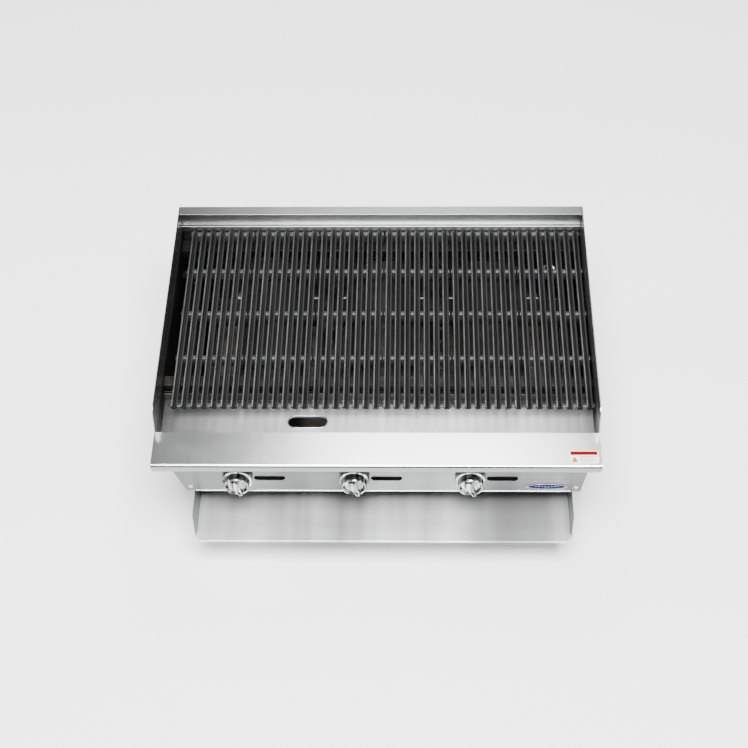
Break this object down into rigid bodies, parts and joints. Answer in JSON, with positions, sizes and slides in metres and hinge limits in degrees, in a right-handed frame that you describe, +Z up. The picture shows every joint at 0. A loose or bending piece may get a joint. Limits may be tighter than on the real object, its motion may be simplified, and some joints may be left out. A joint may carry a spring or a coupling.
{
  "type": "charbroiler",
  "caption": "Countertop gas charbroiler with slatted cast-iron grates, low steel side walls, front ledge, control knobs and a drip tray drawn forward.",
  "frame": {"origin": "middle of the bounding box on the table, with the tray as shown drawn forward", "axes": "+X to the operator's right, front toward -Y, +Z up"},
  "size_m": [0.9144, 0.747, 0.4],
  "materials": {
    "stainless": "brushed, slightly smeared",
    "frame_steel": "heat-dulled sheet",
    "cast_iron": "rough cast, dark",
    "chrome": "polished",
    "burner_steel": "heat-tinted tube",
    "brass": "machined",
    "black_pipe": "black pipe",
    "foot_rubber": "moulded",
    "badge": "gloss, plain oval",
    "label": "vinyl, plain"
  },
  "bodies": {
    "body": {"side_panel_left": "stainless", "apron_end_left": "stainless", "side_panel_right": "stainless", "apron_end_right": "stainless", "front_ledge": "stainless", "grease_gutter": "stainless", "control_panel": "stainless", "back_panel": "stainless", "backsplash": "stainless", "tray_rail_left": "frame_steel", "tray_rail_right": "frame_steel", "base_bar_front": "frame_steel", "base_bar_rear": "frame_steel", "leg_front_left": "stainless", "leg_front_right": "stainless", "leg_rear_left": "stainless", "leg_rear_right": "stainless", "grate_rest_front": "frame_steel", "grate_rest_rear": "frame_steel", "fire_box_front": "frame_steel", "burner_rest_front": "frame_steel", "burner_rest_rear": "frame_steel", "radiant_rest_front": "frame_steel", "radiant_rest_rear": "frame_steel", "divider_left": "frame_steel", "divider_right": "frame_steel", "burner_1": "burner_steel", "radiant_1": "cast_iron", "gas_valve_1": "brass", "pilot_1": "brass", "burner_2": "burner_steel", "radiant_2": "cast_iron", "gas_valve_2": "brass", "pilot_2": "brass", "burner_3": "burner_steel", "radiant_3": "cast_iron", "gas_valve_3": "brass", "pilot_3": "brass", "gas_manifold": "black_pipe", "badge": "badge", "rating_label": "label"},
    "foot_front_left": {"foot_front_left": "foot_rubber"},
    "foot_front_right": {"foot_front_right": "foot_rubber"},
    "foot_rear_left": {"foot_rear_left": "foot_rubber"},
    "foot_rear_right": {"foot_rear_right": "foot_rubber"},
    "drip_tray": {"drip_tray": "stainless"},
    "grate_1": {"grate_1": "cast_iron"},
    "grate_2": {"grate_2": "cast_iron"},
    "grate_3": {"grate_3": "cast_iron"},
    "grate_4": {"grate_4": "cast_iron"},
    "grate_5": {"grate_5": "cast_iron"},
    "grate_6": {"grate_6": "cast_iron"},
    "knob_1": {"knob_1": "chrome"},
    "knob_2": {"knob_2": "chrome"},
    "knob_3": {"knob_3": "chrome"}
  },
  "joints": [
    {"name": "knob_1_turn", "type": "hinge", "parent": "body", "child": "knob_1", "pos_m": [-0.292, -0.3015, 0.233], "axis": [0, -1, 0], "range_deg": [0, 90]},
    {"name": "knob_2_turn", "type": "hinge", "parent": "body", "child": "knob_2", "pos_m": [-0.047, -0.3015, 0.233], "axis": [0, -1, 0], "range_deg": [0, 90]},
    {"name": "knob_3_turn", "type": "hinge", "parent": "body", "child": "knob_3", "pos_m": [0.195, -0.3015, 0.233], "axis": [0, -1, 0], "range_deg": [0, 90]},
    {"name": "drip_tray_slide", "type": "slide", "parent": "body", "child": "drip_tray", "axis": [0, -1, 0], "range_m": [-0.062, 0.4]},
    {"name": "grate_1_lift", "type": "slide", "parent": "body", "child": "grate_1", "axis": [0, -0.342, 0.9397], "range_m": [0, 0.2]},
    {"name": "grate_2_lift", "type": "slide", "parent": "body", "child": "grate_2", "axis": [0, -0.342, 0.9397], "range_m": [0, 0.2]},
    {"name": "grate_3_lift", "type": "slide", "parent": "body", "child": "grate_3", "axis": [0, -0.342, 0.9397], "range_m": [0, 0.2]},
    {"name": "grate_4_lift", "type": "slide", "parent": "body", "child": "grate_4", "axis": [0, -0.342, 0.9397], "range_m": [0, 0.2]},
    {"name": "grate_5_lift", "type": "slide", "parent": "body", "child": "grate_5", "axis": [0, -0.342, 0.9397], "range_m": [0, 0.2]},
    {"name": "grate_6_lift", "type": "slide", "parent": "body", "child": "grate_6", "axis": [0, -0.342, 0.9397], "range_m": [0, 0.2]},
    {"name": "foot_front_left_turn", "type": "hinge", "parent": "body", "child": "foot_front_left", "pos_m": [-0.35, -0.1725, 0.01], "axis": [0, 0, 1], "continuous": true},
    {"name": "foot_front_right_turn", "type": "hinge", "parent": "body", "child": "foot_front_right", "pos_m": [0.374, -0.1725, 0.01], "axis": [0, 0, 1], "continuous": true},
    {"name": "foot_rear_left_turn", "type": "hinge", "parent": "body", "child": "foot_rear_left", "pos_m": [-0.35, 0.2915, 0.01], "axis": [0, 0, 1], "continuous": true},
    {"name": "foot_rear_right_turn", "type": "hinge", "parent": "body", "child": "foot_rear_right", "pos_m": [0.374, 0.2915, 0.01], "axis": [0, 0, 1], "continuous": true}
  ]
}
